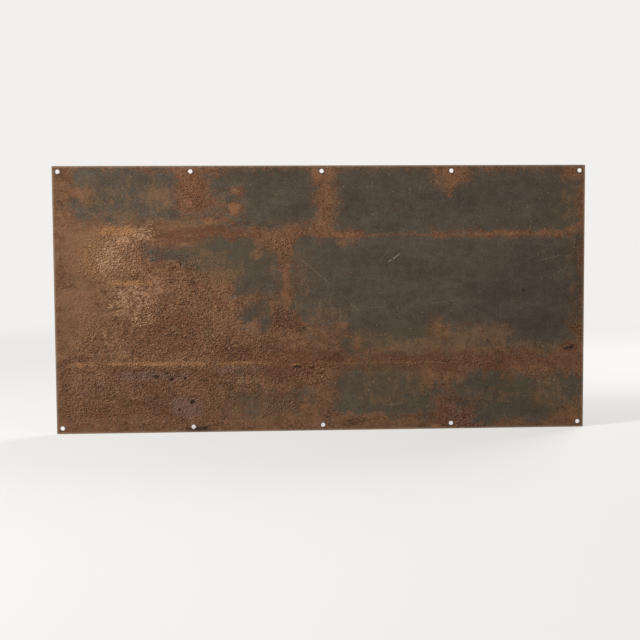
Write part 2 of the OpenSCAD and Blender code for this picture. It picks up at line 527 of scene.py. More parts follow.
# %% Where the coat shows
# Ghosts are places where the coat still shows through thin rust, and films are places where
# rust has washed over it. Straight stretches lie where a batten kept the coat's edge straight.
GHOSTS = [
    (-360, 132, 16, 10, 0.4), (-290, 112, 60, 6, 0.3), (-225, 118, 22, 10, 0.4),
    (-185, 115, 24, 10, 0.5), (-150, 124, 26, 14, 0.5), (-135, 105, 24, 6, 0.4),
    (-248, 70, 10, 14, 0.5), (-208, 66, 50, 13, 0.95), (-185, 50, 16, 8, 0.3), (-145, 58, 40, 20, 0.65),
    (-80, 30, 26, 28, 0.75), (-30, 40, 14, 45, 0.75), (-94, -20, 16, 14, 0.55), (-16, -18, 26, 18, 0.6),
    (10, -30, 34, 14, 0.55), (-15, -50, 12, 8, 0.3), (70, -58, 34, 22, 0.75), (120, -58, 44, 18, 0.6),
    (200, -50, 40, 14, 0.45), (250, -48, 40, 12, 0.45), (368, 60, 13, 90, 0.9), (369, 140, 12, 40, 0.6),
    (10, 178, 20, 8, 0.3), (26, 140, 9, 50, 0.7), (192, 92, 40, 8, 0.45), (295, -68, 34, 12, 0.75),
    (330, -50, 30, 30, 0.6), (-97, -157, 24, 16, 0.4), (-32, -148, 14, 14, 0.4),
    (-140, -122, 8, 6, 0.3), (15, -140, 8, 25, 0.3), (180, -140, 20, 18, 0.4), (320, -118, 40, 10, 0.4),
]
FILMS = [
    (184, 164, 10, 14, 0.6), (184, 150, 5, 12, 0.4), (30, 91, 40, 4, 0.5), (110, 91, 66, 2.5, 0.5),
    (-290, 128, 70, 10, 0.15), (-230, 145, 24, 16, 0.45), (-335, 138, 14, 14, 0.4),
    (-240, 182, 30, 6, 0.3), (-150, 160, 20, 18, 0.15), (-205, 72, 40, 12, 0.35),
    (-150, 70, 30, 10, 0.2), (35, 82, 14, 9, 0.35), (110, 92, 50, 5, 0.12), (376, 130, 8, 34, 0.6),
    (376, 60, 6, 30, 0.5), (368, 97, 16, 9, 0.7), (-20, 30, 16, 40, 0.2), (90, -60, 60, 14, 0.25),
    (190, -52, 36, 16, 0.5), (245, -47, 40, 12, 0.5), (130, -74, 90, 7, 0.45), (280, -76, 80, 6, 0.4),
    (60, -66, 22, 12, 0.3), (315, -108, 20, 8, 0.5), (90, -130, 60, 26, 0.3), (316, -140, 20, 26, 0.45),
    (225, -150, 24, 20, 0.25), (345, -170, 20, 10, 0.4), (-105, -152, 26, 14, 0.4),
    (-30, -146, 14, 16, 0.4), (-95, -24, 18, 14, 0.35),
]
STRAIGHT = [(262, 91, 125, 22, 0.95), (-130, 92, 120, 14, 0.5)]
print(len(GHOSTS), "ghosts,", len(FILMS), "films and", len(STRAIGHT), "straight stretches")

# %% Marks of the rear
# Orange is new rust, tan and red are older rust, pale and gold are dry crust, and lilac is crust
# gone grey. Olive is weathering in the glass, and wash is thin rust on it. Coarse is how thick
# the rust stands, and specks where the glass is bruised. Shade is painted shade: the sheet darker
# where less light falls, mostly towards the right and along the edges and corners.
MARKS = {
    "orange": [
        (-342, 152, 20, 10, 0.9), (-372, 168, 8, 16, 0.3), (-187, 165, 20, 24, 0.4),
        (-190, 138, 9, 7, 0.9), (-123, 155, 7, 5, 0.7), (-123, 130, 8, 11, 1.15),
        (-157, 113, 13, 6, 0.5), (-93, 64, 10, 7, 1.9), (2, 178, 16, 10, 0.7), (5, 104, 9, 9, 0.4),
        (25, 93, 35, 5, 0.35), (185, 182, 28, 9, 0.5), (184, 168, 15, 12, 0.5), (184, 156, 7, 14, 0.4),
        (368, 181, 20, 9, 0.6), (300, 92, 85, 2.8, 0.5), (190, 91, 60, 2.4, 0.3),
        (70, 91, 90, 2.2, 0.2), (352, 94, 34, 7, 0.45), (372, 99, 12, 12, 0.7), (-240, 20, 12, 24, 0.3),
        (-259, 49, 20, 20, 0.4), (-236, 36, 22, 10, 0.35), (10, -2, 14, 5, 0.6), (30, -37, 9, 6, 0.7),
        (48, -62, 8, 11, 0.8), (166, -45, 8, 22, 0.5), (150, -113, 12, 14, 0.7), (158, -125, 6, 8, 0.6),
        (285, -108, 12, 10, 0.6), (315, -110, 22, 10, 0.5), (165, -186, 7, 3, 1.0),
        (365, -172, 18, 12, 0.6), (262, -140, 8, 8, 0.5), (287, -142, 5, 10, 0.5),
        (113, -165, 5, 5, 0.5), (65, -172, 34, 7, 0.6), (-60, 68, 22, 18, 0.7), (-52, 10, 7, 40, 0.7),
        (-60, 90, 34, 8, 0.4),
    ],
    "dark": [
        (12, -85, 22, 12, 0.55), (-37, -97, 9, 1.8, 1.1), (-17, -99, 6, 1.6, 1.0),
        (358, -76, 7, 4, 0.85), (365, -74, 5, 5, 0.8), (208, -172, 36, 20, 0.3), (40, -179, 26, 7, 0.5),
        (8, -163, 12, 12, 0.5), (-188, -146, 3.0, 2.2, 2.8), (-218, -113, 3.2, 2.0, 2.2),
        (-238, -110, 4.5, 1.8, 2.0), (-198, -112, 2.4, 1.8, 2.0), (-224, -104, 1.8, 1.5, 1.8),
        (-206, -158, 2.0, 1.6, 1.8), (203, -150, 40, 5, 0.5), (178, -91, 22, 2, 0.45),
        (256, -93, 8, 4, 0.5), (-180, -187, 22, 7, 0.8), (292, 11, 2.2, 2.2, 1.8),
        (-50, -30, 22, 16, 0.4), (-35, -42, 14, 12, 0.5), (-125, -106, 100, 8, 0.36),
        (-120, -70, 50, 24, 0.35), (-230, -104, 70, 10, 0.4),
    ],
    "pale": [
        (-275, 92, 26, 18, 1.05), (-248, 94, 13, 20, 1.0), (-300, 60, 24, 30, 1.0),
        (-262, 55, 22, 26, 0.6), (-275, 5, 44, 28, 0.9), (-242, 14, 14, 30, 0.8),
        (-260, -25, 26, 14, 0.8), (-310, -60, 30, 20, 0.45), (214, -176, 16, 8, 0.6),
    ],
    "gold": [
        (-292, 98, 34, 7, 0.8), (-275, 25, 38, 4, 0.8), (-292, -91, 26, 2.2, 1.0),
        (-240, -91, 36, 2.8, 1.5), (-186, -92, 26, 2.2, 1.1), (-345, -92, 24, 5, 0.6),
        (-120, -92, 50, 3, 0.6), (-325, 60, 20, 30, 0.4), (-170, 110, 30, 8, 0.4),
        (-245, -10, 14, 12, 0.3), (-140, 92, 60, 4, 0.3), (-42, -94, 9, 1.4, 0.9),
        (80, -93, 120, 1.4, 0.45),
    ],
    "lilac": [
        (-198, -154, 22, 15, 0.8), (-250, -109, 55, 8, 0.6), (-120, -104, 40, 8, 0.5),
        (208, -172, 36, 18, 0.45), (10, -178, 22, 12, 0.5), (-330, -120, 30, 14, 0.4),
    ],
    "olive": [
        (90, -130, 72, 36, 0.9), (310, -140, 70, 34, 0.8), (-290, 150, 66, 32, 0.5),
        (-130, 60, 76, 28, 0.8), (110, -60, 110, 22, 0.7), (-90, -150, 66, 30, 0.6),
        (350, 130, 30, 50, 0.5), (-60, 0, 40, 40, 0.4),
    ],
    "wash": [
        (130, -68, 50, 15, 1.25), (166, -52, 7, 30, 1.1), (210, -64, 44, 20, 1.15),
        (252, -58, 30, 26, 0.95), (300, -70, 46, 10, 0.85), (345, -70, 30, 7, 0.7),
        (80, -60, 50, 17, 0.75), (90, -128, 76, 38, 0.72), (250, -138, 60, 28, 0.62),
        (326, -140, 34, 32, 0.95), (-290, 140, 80, 42, 0.72), (-232, 145, 22, 30, 0.9),
        (366, 60, 24, 110, 0.62), (35, 82, 22, 12, 0.7), (-145, 50, 46, 26, 0.95),
        (-75, 20, 24, 30, 0.6), (-32, 10, 14, 40, 0.75), (5, -25, 40, 20, 0.8),
        (-90, -155, 60, 24, 0.8), (100, 92, 60, 5, 0.7), (-60, 105, 50, 8, 0.6),
        (185, 168, 40, 18, 0.6), (364, 135, 30, 50, 0.72), (-150, 130, 16, 30, 0.6),
        (15, 140, 18, 40, 0.8),
    ],
    "tan": [
        (-320, 70, 60, 50, 0.9), (-350, -20, 30, 60, 0.7), (-160, -145, 60, 22, 0.7),
        (-90, -165, 70, 20, 0.6), (-340, -150, 40, 40, 0.5), (-120, -30, 50, 20, 0.5),
        (-190, 112, 40, 12, 0.6), (-140, 45, 50, 20, 0.5),
    ],
    "red": [
        (-160, 92, 88, 10, 0.9), (-185, 158, 20, 26, 0.7), (-62, 68, 28, 22, 0.6),
        (-52, 15, 8, 40, 0.6), (-50, -32, 24, 18, 0.8), (-45, -95, 60, 22, 0.8),
        (-240, -108, 80, 12, 0.5), (190, -93, 210, 12, 0.9), (206, -170, 46, 26, 1.1),
        (-130, -85, 50, 16, 0.5), (30, -80, 50, 16, 0.5), (376, 50, 5, 60, 0.5),
        (360, -90, 20, 14, 0.6), (-225, -145, 70, 26, 0.5), (-100, -150, 60, 26, 0.5),
        (-335, -150, 40, 30, 0.4), (-220, -50, 70, 30, 0.3),
    ],
    "coarse": [
        (-190, -35, 150, 55, 0.85), (-290, 60, 60, 50, 0.9), (-120, -75, 70, 40, 0.9),
        (-230, -115, 110, 25, 1.0), (-60, 68, 28, 24, 0.9), (-50, -32, 30, 22, 1.0),
        (-330, -140, 50, 45, 0.95), (-200, -160, 60, 20, 0.9), (-200, -100, 190, 100, 0.8),
        (-30, -105, 50, 20, 1.0), (207, -172, 38, 20, 1.4), (-198, -152, 26, 16, 1.3),
        (200, -92, 180, 9, 0.6), (-70, -150, 60, 30, 0.7), (-330, -60, 30, 60, 0.8),
        (-180, 30, 60, 40, 0.8), (-185, 158, 22, 26, 0.75),
    ],
    "specks": [
        (322, 122, 50, 36, 0.75), (340, 60, 50, 40, 0.45), (330, -130, 50, 36, 0.6),
        (-40, 140, 340, 60, 0.12), (90, -130, 90, 50, 0.3), (240, -140, 60, 36, 0.35),
        (150, 30, 260, 120, 0.07),
    ],
    # Painted shade, where less light falls on the sheet: mostly towards the right and along the edges.
    "shade": [
        (374, 30, 14, 100, 0.8), (-370, 0, 16, 120, 0.2), (-366, 156, 20, 34, 0.55),
        (-335, -150, 60, 44, 0.5), (-200, -150, 70, 34, 0.25), (305, 5, 80, 62, 0.65),
        (-60, 146, 60, 44, 0.35), (230, 150, 150, 40, 0.2), (235, -135, 90, 34, 0.25),
        (45, 140, 26, 30, 0.2), (320, 128, 26, 30, 0.4), (335, -36, 56, 24, 1.0),
        (280, -155, 100, 30, 0.3),
    ],
}
print(sum(len(marks) for marks in MARKS.values()), "blots of", len(MARKS), "kinds")

# %% Write the marks on the skins
# Haze is how far the coat's edge fades, and strays bend it: length and reach in mm, and seed.
HAZE = 15.0
STRAYS = [(24, 9.0, 31), (9, 5.0, 32), (4, 2.0, 33)]
NEW_RUST_SHOWS = 0.45
HEART_MM = 8.0
LIP_R = 4.5
# From 2.6 mm to 1 mm from the sheet's edge the rim turns pale: partly wear, partly a painted highlight.
RIM_WORN_AND_LIT = (2.6, 1.0)
INLAND = (2.3, 3.0)


def mark(piece):
    """Writes every kind of mark on a skin of the rear, and how far the coat is whole there."""
    x, z = across_and_up(piece.data)
    places = np.column_stack([x, z])
    depth = nearest(places, np.concatenate(coat_rings))
    write(piece.data, "heart", smooth(0.0, HEART_MM, depth))
    depth = np.where(inside(places, coat_rings), depth, -depth)
    straight = blots(x, z, STRAIGHT)
    stray = sum(reach * noise(x, z, size, seed) for size, reach, seed in STRAYS)
    whole = smooth(-HAZE, HAZE, depth * (1 + straight) + stray * (1 - straight))
    whole = np.maximum(whole, blots(x, z, GHOSTS)) - blots(x, z, FILMS)
    whole -= NEW_RUST_SHOWS * blots(x, z, MARKS["orange"])
    write(piece.data, "slate", whole)
    for name, marks in MARKS.items():
        write(piece.data, name, blots(x, z, marks))
    write(piece.data, "rim", smooth(*RIM_WORN_AND_LIT, from_edge(x, z)))
    free = np.minimum(from_edge(x, z), from_hole(x, z) - LIP_R)
    write(piece.data, "inland", smooth(*INLAND, free))
    print(piece.name, "is whole over", round(100 * whole.mean()), "% of its points")


for piece in (coat_skin, scale_skin):
    mark(piece)

# %% [markdown]
# ## Relief
# Rust grows in lumps and eats pits, a few millimetres across and a few tenths deep. A bump in
# the material would be enough for one view, but this relief is in the mesh, so it also shows
# in the exported model. It follows a rule, so Geometry Nodes make it: noise for the lumps,
# Voronoi cells for the pits, and the mark named coarse to say where. It only ever sinks the
# face, so the skin stays inside the size that the CAD model gives.

# %% A node tree with named inputs
def new_tree(name, sizes):
    """A Geometry Nodes tree with a material input and one number input for each size."""
    tree = bpy.data.node_groups.new(name, "GeometryNodeTree")
    tree.interface.new_socket("Geometry", in_out="OUTPUT", socket_type="NodeSocketGeometry")
    tree.interface.new_socket("Geometry", in_out="INPUT", socket_type="NodeSocketGeometry")
    tree.interface.new_socket("Material", in_out="INPUT", socket_type="NodeSocketMaterial")
    for size in sizes:
        tree.interface.new_socket(size, in_out="INPUT", socket_type="NodeSocketFloat")
    return tree, tree.nodes.new("NodeGroupInput").outputs


def close_tree(tree, geometry, material):
    """Ends a tree: real faces, not copies by name, with their material."""
    geometry = add(tree, "GeometryNodeRealizeInstances", {"Geometry": geometry})
    geometry = add(tree, "GeometryNodeSetMaterial", {"Geometry": geometry, "Material": material})
    add(tree, "NodeGroupOutput", {"Geometry": geometry})


def grow(piece, tree, material, **sizes):
    """Runs a tree on a piece and keeps the result as its plain mesh."""
    modifier = piece.modifiers.new(tree.name, "NODES")
    modifier.node_group = tree
    wanted = {"Material": material}
    wanted.update({name.replace("_", " "): value for name, value in sizes.items()})
    for item in tree.interface.items_tree:
        if item.in_out == "INPUT" and item.name in wanted:
            modifier[item.identifier] = wanted[item.name]
    graph = bpy.context.evaluated_depsgraph_get()
    result = piece.evaluated_get(graph)
    mesh = bpy.data.meshes.new_from_object(result, preserve_all_data_layers=True, depsgraph=graph)
    piece.modifiers.remove(modifier)
    piece.data = mesh
    print(piece.name, "has", len(mesh.polygons), "faces after", tree.name)


print("a tree starts with", new_tree.__name__, "and ends with", close_tree.__name__)

# %% Relief: how deep each place is
# Space is squeezed across and stretched up, so a lump is about 1.7 times as wide as it is high.
# Rust between the lumps and in the pits is deep. The pairs say at which value of the noise or of
# the distance to a pit's middle the depth starts and is full.
LUMP_SQUEEZE = (0.72, 1.0, 1.25)
LUMP_NOISE = {"Detail": 2.0, "Roughness": 0.55}
BETWEEN_LUMPS = {1: 0.62, 2: 0.40}
EATEN_AWAY = {1: 0.5, 2: 0.1}
PIT_SHARE = 0.3
MIDDLE = 0.5
LEAST_COARSE = 0.4
relief, given = new_tree("relief", ["lump mm", "pit mm", "depth mm", "edge level"])
lumps_per_m, pits_per_m = [
    add(relief, "ShaderNodeMath", {0: 1 / MM, 1: given[size]}, operation="DIVIDE")
    for size in ("lump mm", "pit mm")
]
coarse, heart, front = [
    add(relief, "GeometryNodeInputNamedAttribute", {"Name": name}, data_type="FLOAT")
    for name in ("coarse", "heart", "front")
]
position = add(relief, "GeometryNodeInputPosition")
squeezed = add(relief, "ShaderNodeVectorMath", {0: position, 1: LUMP_SQUEEZE}, operation="MULTIPLY")
lumps = add(relief, "ShaderNodeTexNoise", {"Vector": squeezed, "Scale": lumps_per_m, **LUMP_NOISE})
cells = add(relief, "ShaderNodeTexVoronoi", {"Vector": squeezed, "Scale": pits_per_m}, "Distance")
between = add(relief, "ShaderNodeMapRange", {0: lumps, **BETWEEN_LUMPS})
eaten = add(relief, "ShaderNodeMapRange", {0: cells, **EATEN_AWAY}, interpolation_type="SMOOTHSTEP")
rough = add(relief, "ShaderNodeMath", {0: coarse, 1: LEAST_COARSE}, operation="MAXIMUM")
mixed = add(relief, "ShaderNodeMix", {0: PIT_SHARE, 2: between, 3: eaten})
around = add(relief, "ShaderNodeMath", {0: mixed, 1: MIDDLE}, operation="SUBTRACT")
print("relief so far", len(relief.nodes), "nodes")

# %% Relief: sink the face
# Towards the edge of a coat the swing shrinks and the depth goes to the edge level.
EDGE_SWING = 0.35
swing = add(relief, "ShaderNodeMapRange", {0: heart, 3: EDGE_SWING, 4: 1.0})
swung = add(relief, "ShaderNodeMath", {0: around, 1: swing}, operation="MULTIPLY")
level = add(relief, "ShaderNodeMapRange", {0: heart, 3: given["edge level"], 4: MIDDLE})
depth = add(relief, "ShaderNodeMath", {0: swung, 1: rough, 2: level}, operation="MULTIPLY_ADD")
depth = add(relief, "ShaderNodeClamp", {"Value": depth})
sunk = add(relief, "ShaderNodeMath", {0: depth, 1: front}, operation="MULTIPLY")
hollow = add(relief, "ShaderNodeMath", {0: around, 1: rough, 2: MIDDLE}, operation="MULTIPLY_ADD")
metres = add(relief, "ShaderNodeMath", {0: given["depth mm"], 1: MM}, operation="MULTIPLY")
offset = add(relief, "ShaderNodeMath", {0: sunk, 1: metres}, operation="MULTIPLY")
inwards = add(relief, "ShaderNodeCombineXYZ", {"Y": offset})
lowered = add(relief, "GeometryNodeSetPosition", {"Geometry": given["Geometry"], "Offset": inwards})
stored = {"Geometry": lowered, "Name": "hollow", "Value": hollow}
kept = add(relief, "GeometryNodeStoreNamedAttribute", stored, data_type="FLOAT", domain="POINT")
close_tree(relief, kept, given["Material"])
print("relief", len(relief.nodes), "nodes")

# %% [markdown]
# ## Colours of the rear
# Ground coat is a dark glass fired straight onto steel: dull slate where it has weathered. Rust
# scale is an earth: no shine, and brown to orange as it is older or newer. In the photograph
# one fades into the other, because rust washes over the glass. Two separate materials would
# meet in a hard line, so both skins read one network of colours. Each layer is a mark from the
# mesh, broken up by noise of the size of a rust grain, and painted over what came before.

# %% Noise of three sizes
# A grain of rust is finer than half a millimetre. That is too fine to show in the render, so it
# is drawn at 2.2 mm.
GRAIN_MM = 2.2
CLUMP_MM = 10.0
CLOUD_MM = 40.0
NOISE_DETAIL = {GRAIN_MM: 2.0, CLUMP_MM: 5.0, CLOUD_MM: 2.0}
NOISE_ROUGHNESS = 0.62


def rust_noise(tree, place):
    """Grain, clump and cloud, three noises of each, all a little wider than high."""
    squeezed = add(tree, "ShaderNodeMapping", {"Vector": place, "Scale": LUMP_SQUEEZE})
    noises = []
    for size, detail in NOISE_DETAIL.items():
        colour = add(tree, "ShaderNodeTexNoise", {
            "Vector": squeezed, "Scale": 1 / (size * MM), "Detail": detail, "Roughness": NOISE_ROUGHNESS,
        }, "Color")
        split = add(tree, "ShaderNodeSeparateColor", {0: colour}).node.outputs
        noises.append([split[k] for k in range(3)])
    return noises


print("rust noise at", list(NOISE_DETAIL), "mm")

# %% Ramps of colour
# Positions on a ramp from dark to light, and their colours.
RUST_TONES = [
    (0.34, "#422d20"), (0.44, "#5c402d"), (0.51, "#6e4d37"), (0.58, "#805c42"), (0.68, "#987354"),
]
SLATE_TONES = [(0.34, "#39322a"), (0.46, "#463d34"), (0.55, "#544b41"), (0.68, "#6b6151")]


def paint(ramp, tones):
    """Sets the stops of a colour ramp."""
    stops = ramp.node.color_ramp.elements
    while len(stops) < len(tones):
        stops.new(1.0)
    for stop, (position, tone) in zip(stops, tones):
        stop.position = position
        stop.color = linear(tone)


print(len(RUST_TONES), "tones of rust and", len(SLATE_TONES), "of weathered glass")

# %% Plain rust and plain glass
# How much of each coarser noise is mixed into the finer ones, and how far a lump's top is painted
# lighter, as a highlight, and a hollow painted darker, as shade.
CLUMP_SHARE = 0.4
CLOUD_SHARE = 0.2
PATCH_SHARE = 0.18
STREAK_SHARE = 0.12
STREAK_MM = 8.0
STREAK_SQUEEZE = 0.4
STREAK_DETAIL = 4.0
LUMP_PAINTED_LIGHT_AND_SHADE = 0.15


def plain_tones(tree, place, grain, clump, cloud):
    """The colours of plain rust and of plain glass, and the upright streaks that run in glass."""
    blend = add(tree, "ShaderNodeMix", {0: CLUMP_SHARE, 2: grain[0], 3: clump[0]})
    clouded = add(tree, "ShaderNodeMix", {0: CLOUD_SHARE, 2: blend, 3: cloud[0]})
    # Painted highlight and shade: the top of a lump is lighter and a hollow darker, as raking light shows
    # them.
    hollow = add(tree, "ShaderNodeAttribute", out="Fac", attribute_name="hollow")
    lit_tops_and_shaded_hollows = add(tree, "ShaderNodeMapRange", {0: hollow, 3: LUMP_PAINTED_LIGHT_AND_SHADE, 4: -LUMP_PAINTED_LIGHT_AND_SHADE})
    lit = add(tree, "ShaderNodeMath", {0: clouded, 1: lit_tops_and_shaded_hollows}, operation="ADD")
    rust = add(tree, "ShaderNodeValToRGB", {"Fac": lit})
    paint(rust, RUST_TONES)
    upright = add(tree, "ShaderNodeMapping", {"Vector": place, "Scale": (1, 1, STREAK_SQUEEZE)})
    streak = add(tree, "ShaderNodeTexNoise", {
        "Vector": upright, "Scale": 1 / (STREAK_MM * MM), "Detail": STREAK_DETAIL,
    })
    patchy = add(tree, "ShaderNodeMix", {0: PATCH_SHARE, 2: clouded, 3: cloud[1]})
    streaked = add(tree, "ShaderNodeMix", {0: STREAK_SHARE, 2: patchy, 3: streak})
    slate = add(tree, "ShaderNodeValToRGB", {"Fac": streaked})
    paint(slate, SLATE_TONES)
    return rust, slate, streak


print("streaks in the glass are about", STREAK_MM, "mm broad and", STREAK_MM / STREAK_SQUEEZE, "mm high")

# %% Layers over plain rust
# Name of the mark, colour, softness of its edge, how much of it lies anywhere, how far cloud,
# clump, grain and streak swing it, and its strongest cover. Slate has the tones of plain glass.
LAYERS = [
    ("tan", "#835f44", 0.50, 0.20, (1.4, 1.4, 0.8, 0.0), 0.70),
    ("red", "#623e2c", 0.50, 0.22, (1.6, 1.6, 0.8, 0.0), 0.75),
    ("lilac", "#765e54", 0.40, 0.05, (1.2, 1.4, 2.0, 0.0), 0.70),
    ("pale", "#b98f6e", 0.32, -0.52, (0.0, 2.0, 4.6, 0.0), 0.82),
    ("gold", "#9c7048", 0.35, 0.0, (0.0, 1.8, 2.4, 0.0), 0.85),
    ("orange", "#8d6347", 0.50, 0.04, (0.8, 1.8, 2.6, 0.0), 0.72),
    ("slate", None, 0.42, 0.08, (0.0, 1.8, 1.7, 0.4), 0.98),
    ("olive", "#4d4635", 0.65, 0.0, (0.0, 1.8, 1.4, 1.4), 0.70),
    ("wash", "#765a40", 0.56, -0.44, (1.0, 2.0, 2.2, 2.0), 0.80),
    ("dark", "#1f1712", 0.35, -0.06, (0.0, 1.2, 1.6, 0.0), 0.82),
]
HALF_COVERED = 0.55


def layered(tree, colour, slate, grain, clump, cloud, streak):
    """Paints every layer over a colour, and gives back the cover of the slate too."""
    covers = {}
    for k, (name, tone, soft, anywhere, swings, most) in enumerate(LAYERS):
        strength = add(tree, "ShaderNodeAttribute", out="Fac", attribute_name=name)
        strength = add(tree, "ShaderNodeMath", {0: strength, 1: anywhere}, operation="ADD")
        for wave, swing in zip((cloud[k % 3], clump[k % 3], grain[(k + 1) % 3], streak), swings):
            swung = add(tree, "ShaderNodeMapRange", {0: wave, 3: -swing / 2, 4: swing / 2})
            strength = add(tree, "ShaderNodeMath", {0: strength, 1: swung}, operation="ADD")
        edge = {1: HALF_COVERED - soft, 2: HALF_COVERED + soft, 4: most}
        cover = add(tree, "ShaderNodeMapRange", {0: strength, **edge}, interpolation_type="SMOOTHSTEP")
        over = linear(tone) if tone else slate
        colour = add(tree, "ShaderNodeMix", {0: cover, 6: colour, 7: over}, 2, data_type="RGBA")
        covers[name] = cover
    return colour, covers["slate"]


print("layers from below:", ", ".join(layer[0] for layer in LAYERS))

# %% Speckle
# Single grains are darker or lighter, by this share in fine rust, coarse rust and slate.
SPECKLE_FINE = 0.2
SPECKLE_COARSE = 0.27
SPECKLE_SLATE = 0.12
SPECKLE_SWING = {1: 0.3, 2: 0.7, 3: -0.6, 4: 0.9}


def speckled(tree, colour, grain, coarse, whole):
    """Darkens and lightens single grains of a colour."""
    uneven = add(tree, "ShaderNodeMapRange", {0: coarse, 3: SPECKLE_FINE, 4: SPECKLE_COARSE})
    uneven = add(tree, "ShaderNodeMix", {0: whole, 2: uneven, 3: SPECKLE_SLATE})
    around = add(tree, "ShaderNodeMapRange", {0: grain[2], **SPECKLE_SWING})
    speckle = add(tree, "ShaderNodeMath", {0: around, 1: uneven, 2: 1.0}, operation="MULTIPLY_ADD")
    sockets = {0: 1.0, 6: colour, 7: speckle}
    return add(tree, "ShaderNodeMix", sockets, 2, data_type="RGBA", blend_type="MULTIPLY")


print("grains swing by", SPECKLE_SWING[3] * SPECKLE_COARSE, "to", SPECKLE_SWING[4] * SPECKLE_COARSE)

# %% [markdown]
# ## Scratches and specks
# The dull glass is crossed by pale scratches and dotted with pale specks, where it is bruised.
# They could be cut into the mesh, but they are far thinner than its triangles, so the material
# draws them. A scratch is a long thin oval, broken up by the grain. The ones that the photograph
# shows are listed one by one, and chance adds some faint hairlines.

# %% Scratches
# Middle across and up in mm, tilt in degrees, half length, half width and strength.
SCRATCHES = [
    (-8, 38, -41, 36, 0.7, 0.35), (39, -5, -45, 28, 0.6, 0.30), (102, 57, 34, 11, 0.8, 0.9),
    (108, 61, 38, 7, 0.6, 0.8), (329, 56, 12, 22, 0.6, 0.45), (172, -6, 7, 32, 0.6, 0.30),
    (101, -154, 8, 19, 0.6, 0.45), (166, 167, -40, 4, 0.7, 0.8), (225, 130, 70, 14, 0.5, 0.25),
    (60, 120, 80, 18, 0.5, 0.2), (280, 20, 75, 16, 0.5, 0.2), (150, 40, -70, 12, 0.5, 0.2),
]
HAIRLINES = 12
HAIRLINE_SEED = 61
HAIRLINE_PLACES = ((20, -30, -80), (350, 180, 80))
HAIRLINE_SIZES = ((7, 0.35, 0.12), (24, 0.5, 0.26))
SCRATCH_TONE = "#a5957d"
SCRATCH_GAPS = {1: 0.40, 2: 0.52}
SCRATCH_EDGE = {1: 1.0, 2: 0.5}
chance = np.random.default_rng(HAIRLINE_SEED)
for _ in range(HAIRLINES):
    x, z, tilt = chance.uniform(*HAIRLINE_PLACES).round()
    half_long, half_wide, most = chance.uniform(*HAIRLINE_SIZES).round(2)
    SCRATCHES.append((x, z, tilt, half_long, half_wide, most))


def scratched(tree, colour, place, grain):
    """Draws every scratch over a colour."""
    for x, z, tilt, half_long, half_wide, most in SCRATCHES:
        along = add(tree, "ShaderNodeMapping", {
            "Vector": place, "Location": (x * MM, 0, z * MM), "Rotation": (0, radians(-tilt), 0),
            "Scale": (half_long * MM, 1, half_wide * MM),
        }, vector_type="TEXTURE")
        away = add(tree, "ShaderNodeVectorMath", {0: along}, "Value", operation="LENGTH")
        broken_up = add(tree, "ShaderNodeMapRange", {0: grain[1], **SCRATCH_GAPS, 4: most})
        cover = add(tree, "ShaderNodeMapRange", {0: away, **SCRATCH_EDGE, 4: broken_up})
        sockets = {0: cover, 6: colour, 7: linear(SCRATCH_TONE)}
        colour = add(tree, "ShaderNodeMix", sockets, 2, data_type="RGBA")
    return colour


print(len(SCRATCHES), "scratches")

# %% Specks
# Distance between specks in mm, and the size of one as a share of it.
SPECK_APART_MM = 6.0
SPECK_SIZE = 0.13
SPECK_CORE = 0.6
SPECK_TONE = "#9a8e7a"


def specked(tree, colour, place):
    """Draws pale specks over a colour, more of them where the mark named specks is strong."""
    sockets = {"Vector": place, "Scale": 1 / (SPECK_APART_MM * MM)}
    dots = add(tree, "ShaderNodeTexVoronoi", sockets, "Distance").node.outputs
    dot = {0: dots["Distance"], 1: SPECK_SIZE, 2: SPECK_CORE * SPECK_SIZE}
    near = add(tree, "ShaderNodeMapRange", dot)
    lot = add(tree, "ShaderNodeSeparateColor", {0: dots["Color"]})
    zone = add(tree, "ShaderNodeAttribute", out="Fac", attribute_name="specks")
    here = add(tree, "ShaderNodeMath", {0: zone, 1: lot}, operation="GREATER_THAN")
    cover = add(tree, "ShaderNodeMath", {0: near, 1: here}, operation="MULTIPLY")
    sockets = {0: cover, 6: colour, 7: linear(SPECK_TONE)}
    return add(tree, "ShaderNodeMix", sockets, 2, data_type="RGBA")


print("specks measure", round(2 * SPECK_SIZE * SPECK_APART_MM, 2), "mm")

# %% All colours of the rear
def rear_colours(tree):
    """Adds the colours of the rear, and gives back colour, wholeness of the coat and coarseness."""
    place = add(tree, "ShaderNodeTexCoord", out="Object")
    grain, clump, cloud = rust_noise(tree, place)
    rust, slate, streak = plain_tones(tree, place, grain, clump, cloud)
    colour, whole = layered(tree, rust, slate, grain, clump, cloud, streak)
    coarse = add(tree, "ShaderNodeAttribute", out="Fac", attribute_name="coarse")
    colour = speckled(tree, colour, grain, coarse, whole)
    colour = scratched(tree, colour, place, grain)
    colour = specked(tree, colour, place)
    return colour, whole, coarse


def new_finish(name):
    """A material with an empty node tree."""
    material = bpy.data.materials.new(name)
    material.use_nodes = True
    material.node_tree.nodes.clear()
    return material, material.node_tree


print("the rear is painted in", len(LAYERS) + 1, "steps before scratches and specks")

# %% [markdown]
# ## Weathered ground coat and rust scale
# Ground coat enamel is fired glass gone dull: a broad, weak sheen. Rust scale is grown, not
# made: it has no sheen and is gritty. They could be told apart by piece, but the photograph has
# thin rust on the glass, so roughness and bump follow how whole the coat is at each place.
# Shade is painted into the hollows and over broad areas, and the sheet's rim is painted pale: partly
# wear, partly a highlight where its edge catches light.

# %% Painted shade and the worn, lit rim
# Painted shade in the hollows, which keep less of their colour the deeper they are.
HOLLOW_PAINTED_SHADE = {1: 0.55, 2: 0.95, 3: 1.0, 4: 0.82}
# Painted shade over broad areas: at full strength the colour keeps this share.
PAINTED_SHADE = {3: 1.0, 4: 0.72}
